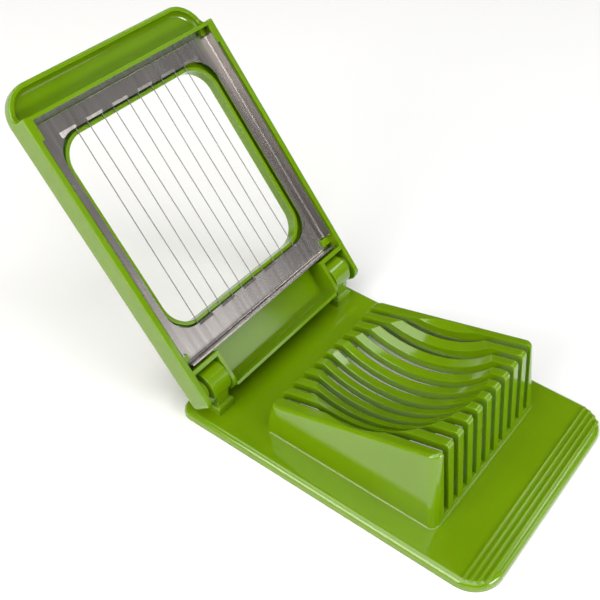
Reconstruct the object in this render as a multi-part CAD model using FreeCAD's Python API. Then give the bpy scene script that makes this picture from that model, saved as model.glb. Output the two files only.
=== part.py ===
import FreeCAD, Part
import math
import os
from FreeCAD import Vector as V

# Egg slicer: a base with a slotted cradle and a hinged lid that carries a steel frame strung with wires.
# Millimetres. X runs across the slicer, Y from the grip end to the hinge, Z up.
# The origin is on the underside, midway between the hinge posts and straight below the hinge line.

# Whole slicer
width = 86.0                 # base and lid
front_reach = 110.0          # hinge line to the grip end
rear_reach = 7.0             # hinge line to the rear edge of the base
hinge_height = 13.0
open_angle = 130.8           # lid angle in the rest pose, from parallel to the base
wire_count = 10
wire_pitch = 5.7
wire_radius = 0.17

# Base plate
plate_thick = 3.2
plate_front_corner = 10.5
plate_rear_corner = 5.0
plate_edge_round = 2.2
rib_count = 4
rib_pitch = 1.95
rib_first = 2.85             # front edge to the first grip rib
rib_radius = 0.75
rib_height = 0.45

# Cradle
cradle_from_front = 23.4     # base's front edge to the foot of the front wall
cradle_rear = 21.1           # hinge line to the foot of the rear wall
cradle_half = 32.7           # at the foot
cradle_height = 32.3         # top of the front wall above the table
cradle_rear_height = 14.7
front_lean = 0.142           # run per rise of the front wall
rear_lean = 0.14
side_lean = 0.088
skin = 2.1                   # side and end walls
bowl_skin = 2.9              # bowl and top
slot_width = 2.87
slot_floor = 4.9             # bottom of the slots in the front wall
slot_floor_rear = 11.2
corner_round = 3.0
top_round = 1.4
root_round = 0.5
bowl_margin = 12.3           # cradle's length less the bowl's mouth
bowl_wide = 59.0             # bowl mouth along X
bowl_depth = 10.5

# Hinge posts
knuckle_radius = 5.8
knuckle_inner = 30.2         # from the middle plane
knuckle_outer = 38.4
stem_inner = 31.6
stem_outer = 36.9
foot_front = 6.9             # hinge line to the front of the foot
foot_rear = 5.4
foot_height = 7.0
foot_round = 1.2
stem_front = 5.5             # hinge line to the stem's front
stem_rear = 4.4
pin_radius = 2.0
pin_clearance = 0.05
pin_tip = 32.4
boss_radius = 3.8
boss_gap = 0.4
stop_gap = 0.3               # stop lug to the edge of the open lid's pocket

# Lid moulding
lid_wall = 2.1               # side walls
lid_end_wall = 1.6           # at the grip
lid_rear_wall = 1.1          # at the hinge
lid_overhang = 0.9           # grip end beyond the base's front
lid_top = 4.4                # outer face above the wire plane
lid_rim = 5.2                # rim below the wire plane
lid_rear = 6.3               # hinge line to the rear wall
lid_corner = 10.5
lid_rear_corner = 2.5
lid_edge_round = 1.5
lid_rear_round = 4.5
ear_round = 3.5
rim_round = 0.5
rear_wall_drop = 1.0         # the rear wall's rim stands back from the side walls'
panel_thick = 2.0
grip_wall_top = 0.2          # the grip tray's rim, above the wire plane
grip_depth = 7.95            # length of the grip tray
cross_rib = 1.2
grip_step = 0.4              # cross rib to the step in the side walls
step_round = 2.2
tray_round = 1.9
pocket_rib_inner = 28.3
pocket_rib = 1.5
pocket_front = 6.2           # hinge line to the pocket's cross rib
window_half = 33.8
window_near = 19.2           # hinge line to the window's near edge
window_from_end = 8.45       # steel's grip end to the window
window_corner = 9.5
collar_width = 1.3
collar_rise = 1.9
ledge_width = 1.8
clip_inner = 37.9            # from the middle plane
clip_near = 10.1             # hinge line to the snap clip
clip_far = 12.7
clip_catch = 0.9
clip_thick = 1.0
boss_inner = 37.8
boss_length = 2.3
pad_length = 6.7
pad_thick = 1.1              # catches the edge of the steel's side flange

# Steel frame
steel = 0.6
steel_gap = 0.08             # between the wires and the plate
steel_near = 8.6             # hinge line to the folded rear edge
tongue_show = 1.4            # strip of the tongue that is seen before the cross rib
steel_side_clear = 0.5
steel_half_window = 35.6
steel_window_near = 17.8
steel_window_far_step = 2.0
steel_window_corner = 9.0
flange_height = 3.7
fold_round = 1.2
rear_flange_half = 39.0
tongue_half = 37.4
tongue_round = 0.5
tongue_drop = 0.8
tongue_length = 1.9
steel_notch = 0.3            # clearance where the steel is cut away round a clip
lug_half = 2.3
lug_depth = 1.2
notch_length = 1.0
notch_slope = 12.0           # the pressed notches slope towards the wires, in degrees
wire_clear = 0.03
part_gap = 0.05

half = width / 2.0
lid_inner = half - lid_wall
panel_under = lid_top - panel_thick
plate_low = -(wire_radius + steel_gap)           # upper face of the steel plate
steel_under = plate_low - steel
steel_half = lid_inner - steel_side_clear
grip_rib = front_reach - lid_end_wall - grip_depth   # hinge line to the far side of the cross rib
cradle_front = front_reach - cradle_from_front       # hinge line to the foot of the front wall
bowl_long = cradle_front - cradle_rear - bowl_margin
steel_far = grip_rib - cross_rib - tongue_show
window_far = steel_far - window_from_end
steel_window_far = window_far + steel_window_far_step
lug_pitch = 2.0 * wire_pitch


def box(x0, x1, y0, y1, z0, z1):
    return Part.makeBox(x1 - x0, y1 - y0, z1 - z0, V(x0, y0, z0))


def side_span(side, inner, outer, y0, y1, z0, z1):
    """A box between two distances from the middle plane, on the left (-1) or right (1)."""
    return box(min(side * inner, side * outer), max(side * inner, side * outer), y0, y1, z0, z1)


def upright_edges(shape, keep):
    found = []
    for edge in shape.Edges:
        a, b = edge.Vertexes[0].Point, edge.Vertexes[-1].Point
        if abs(a.x - b.x) < 1e-4 and abs(a.y - b.y) < 1e-4 and abs(a.z - b.z) > 1e-3 and keep(a):
            found.append(edge)
    return found


def edges_at_height(shape, z, keep=lambda p: True):
    found = []
    for edge in shape.Edges:
        if all(abs(v.Point.z - z) < 1e-4 for v in edge.Vertexes) and keep(edge.CenterOfMass):
            found.append(edge)
    return found


def rounded_box(x_half, y0, y1, z0, z1, radius):
    shape = box(-x_half, x_half, y0, y1, z0, z1)
    return shape.makeFillet(radius, upright_edges(shape, lambda p: True))


def solid_from_corners(low, high):
    sides = [Part.Face(Part.makePolygon(low + low[:1])), Part.Face(Part.makePolygon(high + high[:1]))]
    for i in range(len(low)):
        j = (i + 1) % len(low)
        sides.append(Part.Face(Part.makePolygon([low[i], low[j], high[j], high[i], low[i]])))
    return Part.Solid(Part.Shell(sides)).removeSplitter()


# ---- Base ----

def cradle_block(z_low, inset, drop):
    """The cradle's outer form, or with an inset and a drop the hollow inside it."""
    front_top = -cradle_front + front_lean * (cradle_height - plate_thick)
    rear_top = -cradle_rear - rear_lean * (cradle_rear_height - plate_thick)
    fall = (cradle_height - cradle_rear_height) / (rear_top - front_top)

    def half_at(z):
        return cradle_half - side_lean * (z - plate_thick) - inset

    def front_at(z):
        return -cradle_front + front_lean * (z - plate_thick) + inset

    def rear_at(z):
        return -cradle_rear - rear_lean * (z - plate_thick) - inset

    def top_height(y_at, lean):
        level = cradle_height - drop
        return (level - fall * (y_at(0.0) - front_top)) / (1.0 + fall * lean)

    zf = top_height(front_at, front_lean)
    zr = top_height(rear_at, -rear_lean)
    low = [V(-half_at(z_low), front_at(z_low), z_low), V(half_at(z_low), front_at(z_low), z_low),
           V(half_at(z_low), rear_at(z_low), z_low), V(-half_at(z_low), rear_at(z_low), z_low)]
    high = [V(-half_at(zf), front_at(zf), zf), V(half_at(zf), front_at(zf), zf),
            V(half_at(zr), rear_at(zr), zr), V(-half_at(zr), rear_at(zr), zr)]
    return solid_from_corners(low, high), high


def bowl_form(growth):
    """The egg's bowl as a stretched ball; growth makes the outside of its skin."""
    front_top = -cradle_front + front_lean * (cradle_height - plate_thick)
    rear_top = -cradle_rear - rear_lean * (cradle_rear_height - plate_thick)
    fall = (cradle_height - cradle_rear_height) / (rear_top - front_top)
    tilt = math.atan(fall)
    reach = bowl_long / 2.0 / math.cos(tilt)
    ball = (reach ** 2 + bowl_depth ** 2) / (2.0 * bowl_depth)
    stretch = (bowl_wide / 2.0) / reach
    mid_y = (front_top + rear_top) / 2.0
    mid_z = (cradle_height + cradle_rear_height) / 2.0
    lift = ball - bowl_depth
    centre = V(0.0, mid_y + lift * math.sin(tilt), mid_z + lift * math.cos(tilt))
    shape = Part.makeSphere(ball + growth)
    matrix = FreeCAD.Matrix()
    matrix.scale((ball * stretch + growth) / (ball + growth), 1.0, 1.0)
    shape = shape.transformGeometry(matrix)
    shape.translate(centre)
    return shape


def base_plate():
    plate = box(-half, half, -front_reach, rear_reach, 0.0, plate_thick)
    plate = plate.makeFillet(plate_front_corner, upright_edges(plate, lambda p: p.y < 0.0))
    plate = plate.makeFillet(plate_rear_corner, upright_edges(plate, lambda p: p.y > 0.0))
    return plate.makeFillet(plate_edge_round, edges_at_height(plate, plate_thick))


def cradle_slots():
    """Slots for the wires: lower in the front wall and the bowl than in the rear wall."""
    slots = []
    rear_inside = -cradle_rear - skin - rear_lean * (cradle_rear_height - plate_thick)
    for i in range(wire_count):
        x = (i - (wire_count - 1) / 2.0) * wire_pitch
        x0, x1 = x - slot_width / 2.0, x + slot_width / 2.0
        slots.append(box(x0, x1, -cradle_front - 5.0, rear_inside, slot_floor, cradle_height + 5.0))
        slots.append(box(x0, x1, rear_inside - 1.0, -cradle_rear + 5.0, slot_floor_rear, cradle_height + 5.0))
    return slots


def grip_ribs():
    ribs = []
    corner_y = -front_reach + plate_front_corner
    for i in range(rib_count):
        y = -front_reach + rib_first + i * rib_pitch
        reach = half - plate_front_corner + math.sqrt(plate_front_corner ** 2 - min(y - corner_y, 0.0) ** 2)
        x = reach - 0.7 * plate_edge_round
        start = V(-x, y, plate_thick + rib_height - rib_radius)
        ribs.append(Part.makeCylinder(rib_radius, 2.0 * x, start, V(1, 0, 0)))
    return ribs


def post(side):
    """One hinge post: foot, stem, bored knuckle and the lug that stops the open lid."""
    foot = side_span(side, knuckle_inner, stem_outer + 1.0, -foot_front, foot_rear,
                     plate_thick - 1.0, foot_height)
    foot = foot.makeFillet(foot_round, edges_at_height(foot, foot_height))
    stem = side_span(side, stem_inner, stem_outer, -stem_front, stem_rear, plate_thick - 1.0, hinge_height)
    start = V(min(side * knuckle_inner, side * knuckle_outer), 0.0, hinge_height)
    knuckle = Part.makeCylinder(knuckle_radius, knuckle_outer - knuckle_inner, start, V(1, 0, 0))
    stop = side_span(side, stem_inner, stem_outer, -pocket_front + stop_gap, -1.5, 0.0, lid_top)
    shape = foot.fuse([stem, knuckle, open_lid(stop)])
    bore = Part.makeCylinder(pin_radius + pin_clearance, knuckle_outer - knuckle_inner + 4.0,
                             start - V(2, 0, 0), V(1, 0, 0))
    return shape.cut(bore)


def open_lid(shape):
    """Moves a shape from the lid's closed frame, with the hinge at its origin, to the rest pose."""
    moved = shape.copy()
    moved.rotate(V(0, 0, 0), V(1, 0, 0), -open_angle)
    moved.translate(V(0, 0, hinge_height))
    return moved


def make_base():
    outer, high = cradle_block(plate_thick - 1.0, 0.0, 0.0)
    corners = [e for e in outer.Edges if abs(e.Vertexes[0].Point.z - e.Vertexes[-1].Point.z) > 5.0
               and min(v.Point.z for v in e.Vertexes) < plate_thick]
    outer = outer.makeFillet(corner_round, corners).removeSplitter()
    up = (high[1] - high[0]).cross(high[2] - high[0]).normalize()
    top = [e for e in outer.Edges
           if all(abs((v.Point - high[0]).dot(up)) < 1e-3 for v in e.Vertexes)]
    outer = outer.makeFillet(top_round, top)
    shape = base_plate().fuse(outer)
    foot = edges_at_height(shape, plate_thick, lambda p: abs(p.x) < cradle_half + 1.0
                           and -cradle_front - 1.0 < p.y < -cradle_rear + 1.0)
    shape = shape.makeFillet(root_round, foot)
    hollow, _ = cradle_block(-1.0, skin, bowl_skin)
    shape = shape.cut(hollow.cut(bowl_form(bowl_skin)))
    shape = shape.cut(bowl_form(0.0))
    shape = shape.cut(cradle_slots())
    shape = shape.fuse(grip_ribs() + [post(-1), post(1)])
    return shape.removeSplitter()


# ---- Lid, built closed with the hinge line at the origin and the wires in the plane z = 0 ----

def corner_cutter(y_edge, z_edge, z_way, radius, x_from):
    """What rounding a rear corner takes off, everywhere further than x_from from the middle plane."""
    y_mid, z_mid = y_edge - radius, z_edge - z_way * radius
    z0, z1 = sorted((z_mid, z_edge + z_way))
    block = box(-half - 1, half + 1, y_mid, y_edge + 1, z0, z1)
    block = block.cut(Part.makeCylinder(radius, width + 4.0, V(-half - 2, y_mid, z_mid), V(1, 0, 0)))
    return block.cut(box(-x_from, x_from, -50, 50, -50, 50))


def lid_shell():
    front = -front_reach - lid_overhang
    shell = box(-half, half, front, lid_rear, -lid_rim, lid_top)
    shell = shell.makeFillet(lid_corner, upright_edges(shell, lambda p: p.y < 0.0))
    shell = shell.makeFillet(lid_rear_corner, upright_edges(shell, lambda p: p.y > 0.0))
    shell = shell.makeFillet(lid_edge_round, edges_at_height(shell, lid_top))
    shell = shell.makeFillet(rim_round, edges_at_height(shell, -lid_rim))
    # Grip tray: a lower rim and a shallow floor
    step_y = -grip_rib - grip_step
    shell = shell.cut(box(-half - 1, half + 1, front - 1, step_y, -lid_rim - 1, grip_wall_top))
    foot = [e for e in edges_at_height(shell, grip_wall_top) if abs(e.CenterOfMass.y - step_y) < 1e-3]
    shell = shell.makeFillet(step_round, foot)
    rim = [e for e in edges_at_height(shell, grip_wall_top) if e.CenterOfMass.y < step_y - step_round - 0.1]
    shell = shell.makeFillet(rim_round, rim)
    tray = rounded_box(lid_inner, front + lid_end_wall, -grip_rib + 30.0, -lid_rim - 1, panel_under + 0.2,
                       lid_corner - lid_wall)
    tray = tray.common(box(-half, half, front, -grip_rib, -lid_rim - 2, lid_top))
    floor = edges_at_height(tray, panel_under + 0.2, lambda p: p.y < -grip_rib - 0.5)
    shell = shell.cut(tray.makeFillet(tray_round, floor))
    # Main tray, with a lower rear wall between the hinge pockets
    shell = shell.cut(box(-lid_inner, lid_inner, -grip_rib + cross_rib, lid_rear - lid_rear_wall,
                          -lid_rim - 1, panel_under))
    return shell.cut(box(-pocket_rib_inner, pocket_rib_inner, lid_rear - lid_rear_wall - 1, lid_rear + 1,
                         -lid_rim - 1, -lid_rim + rear_wall_drop))


def make_lid():
    shape = lid_shell()
    window = rounded_box(window_half, -window_far, -window_near, -lid_rim - 1, lid_top + 1, window_corner)
    collar = rounded_box(window_half + collar_width, -window_far - collar_width, -window_near + collar_width,
                         panel_under - collar_rise, panel_under + 0.5, window_corner + collar_width)
    shape = shape.fuse(collar).cut(window)
    rib_outer = pocket_rib_inner + pocket_rib
    panel = panel_under + 0.5        # runs a little into the panel, so that the pieces fuse
    wall = lid_inner + 0.5
    clip_top = steel_under - part_gap
    adds = []
    for side in (-1, 1):
        shape = shape.cut(side_span(side, rib_outer, lid_inner, -pocket_front, lid_rear + 1,
                                    -lid_rim - 1, lid_top + 1))
        spans = (
            # pocket ribs
            (pocket_rib_inner, rib_outer, -pocket_front - pocket_rib, lid_rear - 0.5 * lid_rear_wall,
             -lid_rim, panel),
            (pocket_rib_inner, wall, -pocket_front - pocket_rib, -pocket_front, -lid_rim, panel),
            # ledge behind the steel's side
            (lid_inner - ledge_width, wall, -steel_far + 1.0, -clip_far - 1.0, plate_low + part_gap, panel),
            # snap clip and its catch
            (clip_inner, wall, -clip_far, -clip_near, clip_top - clip_thick, panel),
            (clip_inner - clip_catch, wall, -clip_far, -clip_near, clip_top - clip_thick, clip_top),
            # corner boss, and the pad over the steel's corner
            (boss_inner, wall, -grip_rib + cross_rib - 0.5, -grip_rib + cross_rib + boss_length,
             clip_top - clip_thick, panel),
            (lid_inner - pad_thick, wall, -grip_rib + cross_rib - 0.5, -grip_rib + cross_rib + pad_length,
             -lid_rim, clip_top - flange_height),
        )
        adds += [side_span(side, *span) for span in spans]
        for radius, inner in ((boss_radius, knuckle_outer + boss_gap), (pin_radius, pin_tip)):
            start = V(min(side * inner, side * wall), 0, 0)
            adds.append(Part.makeCylinder(radius, wall - inner, start, V(1, 0, 0)))
    shape = shape.fuse(adds)
    groove = box(-tongue_half - part_gap, tongue_half + part_gap, -steel_far - tongue_length - part_gap,
                 -steel_far + 1.0, plate_low + tongue_drop - steel - part_gap,
                 plate_low + tongue_drop + part_gap)
    shape = shape.cut([groove, corner_cutter(lid_rear, -lid_rim, -1, ear_round, pocket_rib_inner),
                       corner_cutter(lid_rear, lid_top, 1, lid_rear_round, rib_outer)])
    return shape.removeSplitter()


# ---- Steel frame ----

def lug_centres(rows):
    return [(i - (rows - 1) / 2.0) * lug_pitch for i in range(rows)]


def folded_edge(length):
    """A quarter bend and the flange below it, along X and centred; the flat sheet ends at y = 0."""
    middle = plate_low - fold_round
    ring = Part.makeCylinder(fold_round, length, V(-length / 2.0, 0, middle), V(1, 0, 0))
    ring = ring.cut(Part.makeCylinder(fold_round - steel, length, V(-length / 2.0, 0, middle), V(1, 0, 0)))
    ring = ring.common(box(-length, length, 0, 2 * fold_round, middle, plate_low + 1))
    flange = box(-length / 2.0, length / 2.0, fold_round - steel, fold_round,
                 steel_under - flange_height, middle)
    return ring.fuse(flange)


def make_frame():
    flat_half, flat_near = steel_half - fold_round, -steel_near - fold_round
    side_near, side_far = -clip_far - steel_notch, -grip_rib + cross_rib + boss_length + steel_notch
    shape = box(-flat_half, flat_half, -steel_far, flat_near, steel_under, plate_low)
    rear = folded_edge(2.0 * rear_flange_half)
    rear.translate(V(0, flat_near, 0))
    parts = [rear]
    for side in (-1, 1):
        fold = folded_edge(side_near - side_far)
        fold.rotate(V(0, 0, 0), V(0, 0, 1), -90.0 * side)
        fold.translate(V(side * flat_half, (side_near + side_far) / 2.0, 0))
        parts.append(fold)
    shape = shape.fuse(parts)
    cuts = [rounded_box(steel_half_window, -steel_window_far, -steel_window_near, -20, 20,
                        steel_window_corner)]
    for side in (-1, 1):
        cuts.append(side_span(side, clip_inner - steel_notch, half, -clip_far - steel_notch,
                              -clip_near + 0.2, steel_under - 0.5, plate_low + 0.5))
        cuts.append(side_span(side, boss_inner - steel_notch, half, -steel_far - 1, side_far,
                              steel_under - 0.5, plate_low + 0.5))
    shape = shape.cut(cuts)
    # Tongue at the grip end, stepped towards the lid's panel
    far = -steel_far
    web = box(-tongue_half, tongue_half, far, far + steel, steel_under, plate_low + tongue_drop)
    tongue = box(-tongue_half, tongue_half, far - tongue_length, far + steel,
                 plate_low + tongue_drop - steel, plate_low + tongue_drop)
    shape = shape.fuse([web, tongue]).removeSplitter()
    bend = [e for e in edges_at_height(shape, steel_under) if abs(e.CenterOfMass.y - far) < 1e-3]
    shape = shape.makeFillet(tongue_round, bend)
    lugs, notches = [], []
    lug_rows = ((wire_count // 2, -steel_window_far, -1), (wire_count // 2 + 1, -steel_window_near, 1))
    for rows, edge_y, out in lug_rows:
        y0, y1 = sorted((edge_y, edge_y + out * steel))
        for x in lug_centres(rows):
            lugs.append(box(x - lug_half, x + lug_half, y0, y1, plate_low - 0.1, plate_low + lug_depth))
        for x in lug_centres(wire_count + 1 - rows):
            reach = lug_pitch / 2.0 - lug_half
            rise = (notch_length + 1.0) * math.tan(math.radians(notch_slope))
            start = V(x - reach, edge_y + out * notch_length, steel_under)
            end = V(x - reach, edge_y - out, steel_under)
            ramp = Part.Face(Part.makePolygon([start, end, end + V(0, 0, rise), start]))
            notches.append(ramp.extrude(V(2.0 * reach, 0, 0)))
    shape = shape.cut(notches).fuse(lugs)
    return shape.removeSplitter()


# ---- Wires ----

def make_wire(index):
    """One run of wire, with its half turn round the lug at each end."""
    offset = lug_half + wire_radius + wire_clear
    turn = wire_radius + wire_clear
    far_lug = lug_centres(wire_count // 2)[index // 2]
    near_lug = lug_centres(wire_count // 2 + 1)[(index + 1) // 2]
    far_side = -1.0 if index % 2 == 0 else 1.0
    near_side = -far_side
    far_y = -steel_window_far - steel - turn
    near_y = -steel_window_near + steel + turn
    a = V(near_lug + near_side * offset, near_y, 0)
    b = V(far_lug + far_side * offset, far_y, 0)
    run = (b - a).normalize()
    start = V(near_lug + near_side * 0.06, near_y, 0)
    end = V(far_lug + far_side * 0.06, far_y, 0)

    def turn_points(corner, back, onward):
        cosine = back.dot(onward)
        angle = math.acos(max(-1.0, min(1.0, cosine)))
        reach = turn / math.tan(angle / 2.0)
        middle = (back + onward).normalize()
        centre = corner + middle * (turn / math.sin(angle / 2.0))
        return corner + back * reach, centre - middle * turn, corner + onward * reach

    a0, am, a1 = turn_points(a, (start - a).normalize(), run)
    b0, bm, b1 = turn_points(b, run * -1.0, (end - b).normalize())
    edges = [Part.makeLine(start, a0), Part.Arc(a0, am, a1).toShape(), Part.makeLine(a1, b0),
             Part.Arc(b0, bm, b1).toShape(), Part.makeLine(b1, end)]
    path = Part.Wire(edges)
    ring = Part.Wire(Part.makeCircle(wire_radius, start, (a0 - start).normalize()))
    return path.makePipeShell([ring], True, True)


def main():
    os.makedirs("parts", exist_ok=True)
    nodes = {"base": make_base(), "lid": open_lid(make_lid()), "cutting_frame": open_lid(make_frame())}
    for i in range(wire_count):
        nodes["wire_%02d" % (i + 1)] = open_lid(make_wire(i))
    for name, shape in nodes.items():
        shape.exportStep("parts/%s.step" % name)
        print(name, shape.isValid(), len(shape.Solids), round(shape.Volume, 2), shape.BoundBox)


main()
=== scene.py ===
import bpy
from mathutils import Matrix, Vector

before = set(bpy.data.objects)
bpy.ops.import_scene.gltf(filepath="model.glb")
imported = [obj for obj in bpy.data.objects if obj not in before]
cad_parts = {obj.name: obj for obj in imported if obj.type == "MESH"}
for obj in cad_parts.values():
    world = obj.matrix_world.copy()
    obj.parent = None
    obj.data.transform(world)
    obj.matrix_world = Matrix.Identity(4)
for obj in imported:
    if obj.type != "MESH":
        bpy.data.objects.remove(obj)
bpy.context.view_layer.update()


# ---- Shader maths ----

class Signal:
    """A node socket that takes part in Python arithmetic."""

    def __init__(self, finish, socket):
        self.finish, self.socket = finish, socket

    def _math(self, operation, *values):
        return self.finish.node("ShaderNodeMath", {"operation": operation}, dict(enumerate(values)))

    def __add__(self, other):
        return self._math("ADD", self, other)

    def __radd__(self, other):
        return self._math("ADD", other, self)

    def __sub__(self, other):
        return self._math("SUBTRACT", self, other)

    def __rsub__(self, other):
        return self._math("SUBTRACT", other, self)

    def __mul__(self, other):
        return self._math("MULTIPLY", self, other)

    def over(self, level, blur):
        """0 below the level and 1 above it, with a soft step."""
        return self.finish.node("ShaderNodeMapRange", {"interpolation_type": "SMOOTHSTEP"},
                                {"Value": self, "From Min": level - blur, "From Max": level + blur})


class Finish:
    """One material, built node by node."""

    def __init__(self, name):
        self.material = bpy.data.materials.new(name)
        self.material.use_nodes = True
        self.tree = self.material.node_tree
        self.shader = self.tree.nodes["Principled BSDF"]
        self.place = self.node("ShaderNodeTexCoord", {}, {}, "Object")

    def node(self, kind, settings, inputs, output=0):
        made = self.tree.nodes.new(kind)
        for key, value in settings.items():
            setattr(made, key, value)
        for key, value in inputs.items():
            if isinstance(value, Signal):
                self.tree.links.new(value.socket, made.inputs[key])
            else:
                made.inputs[key].default_value = value
        return Signal(self, made.outputs[output])

    def scaled(self, scale, shift=(0.0, 0.0, 0.0)):
        return self.node("ShaderNodeMapping", {}, {"Vector": self.place, "Scale": scale, "Location": shift})

    def noise(self, scale, detail=3.0, rough=0.55, stretch=(1.0, 1.0, 1.0), shift=(0.0, 0.0, 0.0)):
        return self.node("ShaderNodeTexNoise", {}, {"Vector": self.scaled(stretch, shift), "Scale": scale,
                                                    "Detail": detail, "Roughness": rough})

    def blend(self, factor, low, high):
        return self.node("ShaderNodeMix", {"data_type": "RGBA"}, {0: factor, 6: low, 7: high}, 2)

    def softened(self, radius):
        """A normal that rounds every hard edge a little."""
        return self.node("ShaderNodeBevel", {"samples": 4}, {"Radius": radius})

    def bump(self, height, strength, distance, **normal):
        return self.node("ShaderNodeBump", {}, {"Height": height, "Strength": strength, "Distance": distance,
                                                **normal})

    def feed(self, **sockets):
        for key, value in sockets.items():
            target = self.shader.inputs[key.replace("_", " ")]
            if isinstance(value, Signal):
                self.tree.links.new(value.socket, target)
            else:
                target.default_value = value


def moulded_plastic(name, tone):
    """Glossy lime plastic: faintly cloudy colour, a trace of moulding texture, hairlines and dust."""
    f = Finish(name)
    cloud = f.noise(28.0, 4.0)
    deep = (0.124 * tone, 0.232 * tone, 0.0006, 1.0)
    light = (0.142 * tone, 0.258 * tone, 0.001, 1.0)
    colour = f.blend(cloud.over(0.5, 0.25), deep, light)
    dust = f.noise(90.0, 6.0, 0.7).over(0.66, 0.1) * 0.02
    colour = f.blend(dust, colour, (0.5, 0.55, 0.36, 1.0))
    hairline_a = f.noise(120.0, 2.0, 0.5, (1.0, 0.03, 1.0))
    hairline_b = f.noise(150.0, 2.0, 0.5, (0.04, 1.0, 0.6), (3.1, 1.7, 0.4))
    hairlines = hairline_a.over(0.74, 0.03) + hairline_b.over(0.75, 0.03)
    waves = f.noise(45.0, 2.0)
    height = waves * 0.25 + f.noise(1500.0, 2.0) * 0.02 - hairlines * 0.04
    rounded_edges = f.softened(0.0005)
    f.feed(Base_Color=colour, Roughness=0.1 + cloud * 0.04 + hairlines * 0.06 + dust * 2.0,
           Normal=f.bump(height, 0.08, 0.0006, Normal=rounded_edges),
           IOR=1.52, Coat_Weight=0.3 - dust * 2.0, Coat_Roughness=0.05,
           Subsurface_Weight=0.4, Subsurface_Scale=0.005)
    f.shader.inputs["Subsurface Radius"].default_value = (0.4, 1.0, 0.1)
    return f.material


def stamped_steel(name):
    """Cold-rolled stainless sheet: fine rolling lines along its length, handling marks and dull patches."""
    f = Finish(name)
    lines = f.noise(650.0, 3.0, 0.6, (1.0, 0.05, 0.05))
    broad = f.noise(260.0, 3.0, 0.6, (1.0, 0.03, 0.03))
    smudge = f.noise(35.0, 4.0).over(0.55, 0.2)
    colour = f.blend(lines, (0.4, 0.372, 0.352, 1.0), (0.76, 0.715, 0.688, 1.0))
    colour = f.blend(smudge * 0.15, colour, (0.42, 0.385, 0.36, 1.0))
    marks = f.noise(210.0, 2.0, 0.5, (1.0, 0.05, 0.3), (1.0, 4.0, 2.0)).over(0.72, 0.03)
    height = lines * 0.4 + broad * 0.15
    f.feed(Base_Color=colour, Metallic=1.0, Roughness=0.2 + broad * 0.08 + smudge * 0.05 + marks * 0.015,
           Normal=f.bump(height, 0.035, 0.0003))
    return f.material


def drawn_wire(name):
    """Drawn stainless wire: faint die lines along it and small dull spots."""
    f = Finish(name)
    die = f.noise(2500.0, 2.0, 0.5, (1.0, 0.02, 0.02))
    spots = f.noise(300.0, 3.0).over(0.62, 0.1)
    colour = f.blend(spots * 0.3 + die * 0.2, (0.3, 0.29, 0.28, 1.0), (0.22, 0.21, 0.2, 1.0))
    f.feed(Base_Color=colour, Metallic=1.0, Roughness=0.42 + spots * 0.08 + die * 0.04)
    return f.material


def worktop(name):
    """Matt, nearly white paint with a faint cloud in it."""
    f = Finish(name)
    cloud = f.noise(3.0, 3.0)
    colour = f.blend(cloud, (0.85, 0.85, 0.845, 1.0), (0.87, 0.87, 0.865, 1.0))
    f.feed(Base_Color=colour, Roughness=0.6 + cloud * 0.1)
    return f.material


# ---- The slicer's own pieces ----

def paint(node, material):
    """Puts one material on every slot of a CAD node."""
    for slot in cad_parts[node].material_slots:
        slot.material = material


paint("base", moulded_plastic("base_plastic", 1.0))
paint("lid", moulded_plastic("lid_plastic", 0.97))
paint("cutting_frame", stamped_steel("frame_steel"))
wire_steel = drawn_wire("wire_steel")
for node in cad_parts:
    if node.startswith("wire_"):
        paint(node, wire_steel)


# ---- Stage, light and camera ----

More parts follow.
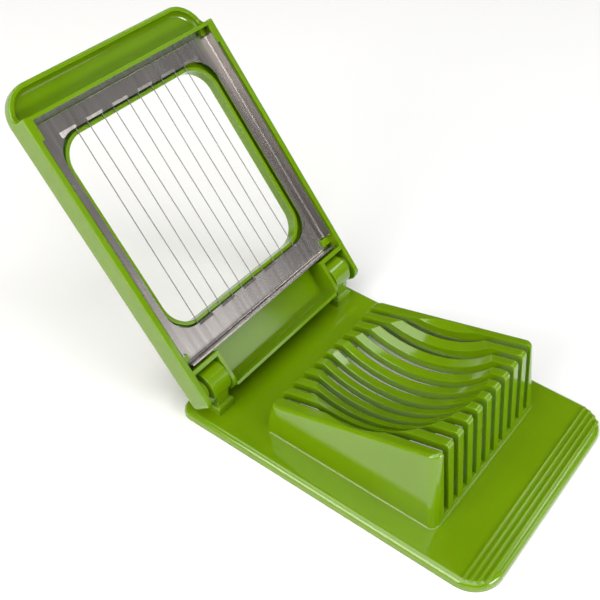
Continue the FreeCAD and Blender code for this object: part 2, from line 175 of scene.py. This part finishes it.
def soft_box(name, place, aim, size, power, colour=(1.0, 1.0, 1.0)):
    lamp = bpy.data.lights.new(name, "AREA")
    lamp.shape, lamp.size, lamp.size_y = "RECTANGLE", size[0], size[1]
    lamp.energy, lamp.color = power, colour
    holder = bpy.data.objects.new(name, lamp)
    bpy.context.scene.collection.objects.link(holder)
    holder.location = place
    holder.rotation_euler = (Vector(aim) - Vector(place)).to_track_quat("-Z", "Y").to_euler()


def build_stage():
    """A wide pale floor, and a faint even light from everywhere."""
    bpy.ops.mesh.primitive_plane_add(size=8.0, location=(0.0, 0.0, 0.0))
    floor = bpy.context.object
    floor.name = "floor"
    floor.data.materials.append(worktop("floor_paint"))
    world = bpy.data.worlds.new("studio")
    bpy.context.scene.world = world
    world.use_nodes = True
    background = world.node_tree.nodes["Background"]
    background.inputs["Color"].default_value = (0.95, 0.97, 1.0, 1.0)
    background.inputs["Strength"].default_value = 0.04


def build_lights():
    """Three lights for the faces, and three small cards that the steel, the tray and the edges mirror."""
    slicer_middle = (0.0, -0.03, 0.02)
    steel_middle = (0.0, 0.03, 0.06)
    warm = (1.0, 0.95, 0.86)
    soft_box("ceiling_light", (-0.6, -0.3, 1.8), slicer_middle, (2.4, 2.4), 50.0)
    soft_box("front_light", (0.2, -1.9, 0.6), slicer_middle, (0.9, 0.5), 24.0)
    soft_box("left_light", (-1.3, 0.2, 0.6), slicer_middle, (0.8, 0.7), 14.0, warm)
    soft_box("low_card", (0.70, -1.036, 0.35), slicer_middle, (0.155, 0.46), 0.4)
    soft_box("upper_card", (0.95, -0.98, 0.92), steel_middle, (0.5, 0.4), 0.13)
    soft_box("edge_card", (1.03, -0.42, 1.28), slicer_middle, (0.4, 0.3), 1.7)


def build_camera():
    """Above the left side, looking down across the slicer."""
    place = (-0.1924, -0.14965, 0.24745)
    sight = Vector((0.59900, 0.43187, -0.67430))
    up = Vector((0.52893, 0.41884, 0.73811))
    side = sight.cross(up).normalized()
    up = side.cross(sight).normalized()
    camera = bpy.data.objects.new("camera", bpy.data.cameras.new("camera"))
    bpy.context.scene.collection.objects.link(camera)
    camera.data.lens, camera.data.sensor_width = 57.68, 36.0
    camera.data.clip_start = 0.01
    turn = Matrix((side, up, -sight)).transposed().to_4x4()
    camera.matrix_world = Matrix.Translation(place) @ turn
    bpy.context.scene.camera = camera


build_stage()
build_lights()
build_camera()
bpy.context.scene.view_settings.view_transform = "Standard"
